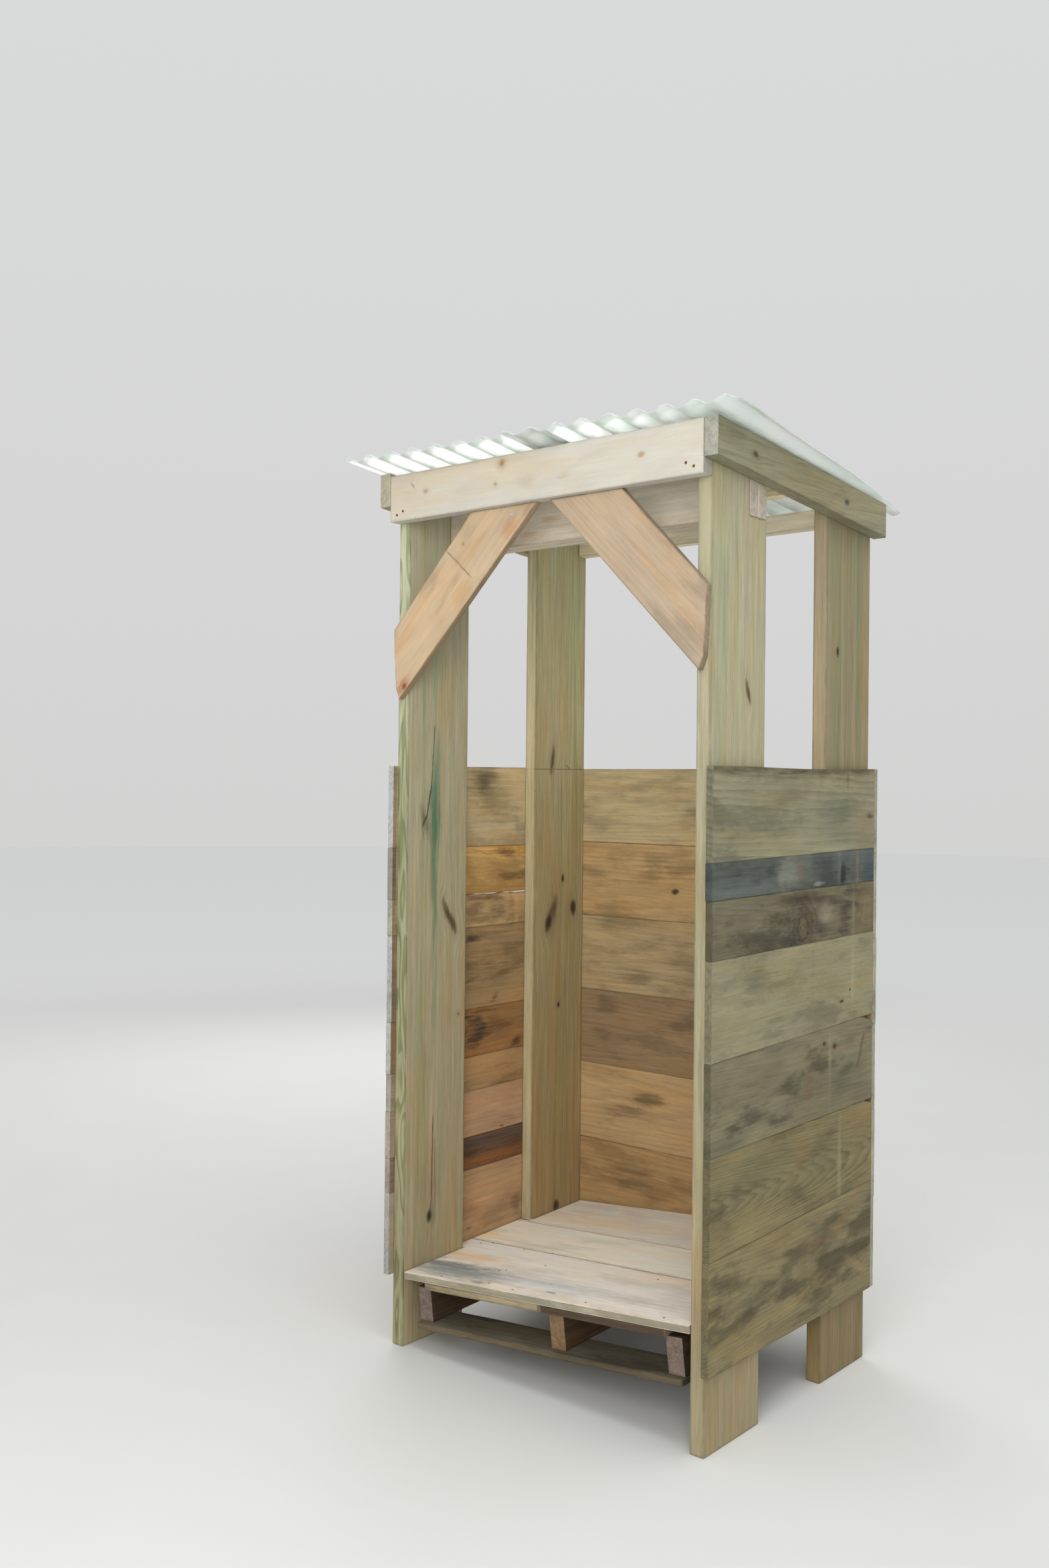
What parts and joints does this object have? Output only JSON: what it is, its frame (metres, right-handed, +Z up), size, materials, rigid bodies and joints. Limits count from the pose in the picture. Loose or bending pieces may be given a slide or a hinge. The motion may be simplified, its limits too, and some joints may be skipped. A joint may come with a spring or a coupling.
{
  "type": "open-fronted timber hut",
  "caption": "Small open-fronted hut on plank posts, with chest-high board walls, a sloping boarded floor on a pallet, knee braces and a lean-to corrugated roof.",
  "frame": {"origin": "middle of the bounding box at ground level", "axes": "+Z up, +Y from the open front to the back, +X to the right seen from the front"},
  "size_m": [1.2306, 1.0548, 2.3563],
  "materials": {
    "treated_pine": "planed, dry",
    "header_timber": "planed, dry",
    "brace_board": "dry sawn",
    "grey_board": "weathered",
    "tan_board": "dry sawn",
    "orange_board": "dry sawn",
    "weathered_board": "weathered",
    "floor_board": "dry sawn",
    "pallet_wood": "rough sawn",
    "roof_sheet": "translucent corrugated sheet"
  },
  "bodies": {
    "root": {"front_left_post": "treated_pine", "front_right_post": "treated_pine", "back_left_post": "treated_pine", "back_right_post": "treated_pine", "front_header": "header_timber", "crossbeam_front_board": "grey_board", "crossbeam_back_board": "grey_board", "roof_purlin": "header_timber", "back_header": "brace_board", "left_side_beam": "header_timber", "right_side_beam": "header_timber", "front_left_brace": "brace_board", "front_right_brace": "brace_board", "left_wall_board_1": "tan_board", "left_wall_board_2": "orange_board", "left_wall_board_3": "tan_board", "left_wall_board_4": "tan_board", "left_wall_board_5": "orange_board", "left_wall_board_6": "tan_board", "left_wall_board_7": "tan_board", "left_wall_board_8": "weathered_board", "left_wall_board_9": "orange_board", "right_wall_board_1": "tan_board", "right_wall_board_2": "weathered_board", "right_wall_board_3": "tan_board", "right_wall_board_4": "tan_board", "right_wall_board_5": "tan_board", "right_wall_board_6": "tan_board", "right_wall_board_7": "tan_board", "back_wall_board_1": "tan_board", "back_wall_board_2": "orange_board", "back_wall_board_3": "tan_board", "back_wall_board_4": "weathered_board", "back_wall_board_5": "tan_board", "back_wall_board_6": "orange_board", "pallet_left_stringer": "pallet_wood", "pallet_middle_stringer": "pallet_wood", "pallet_right_stringer": "pallet_wood", "pallet_top_deck": "pallet_wood", "pallet_bottom_deck": "pallet_wood", "floor_board_1": "floor_board", "floor_board_2": "floor_board", "floor_board_3": "floor_board", "roof_sheet_left": "roof_sheet", "roof_sheet_right": "roof_sheet"}
  },
  "joints": []
}
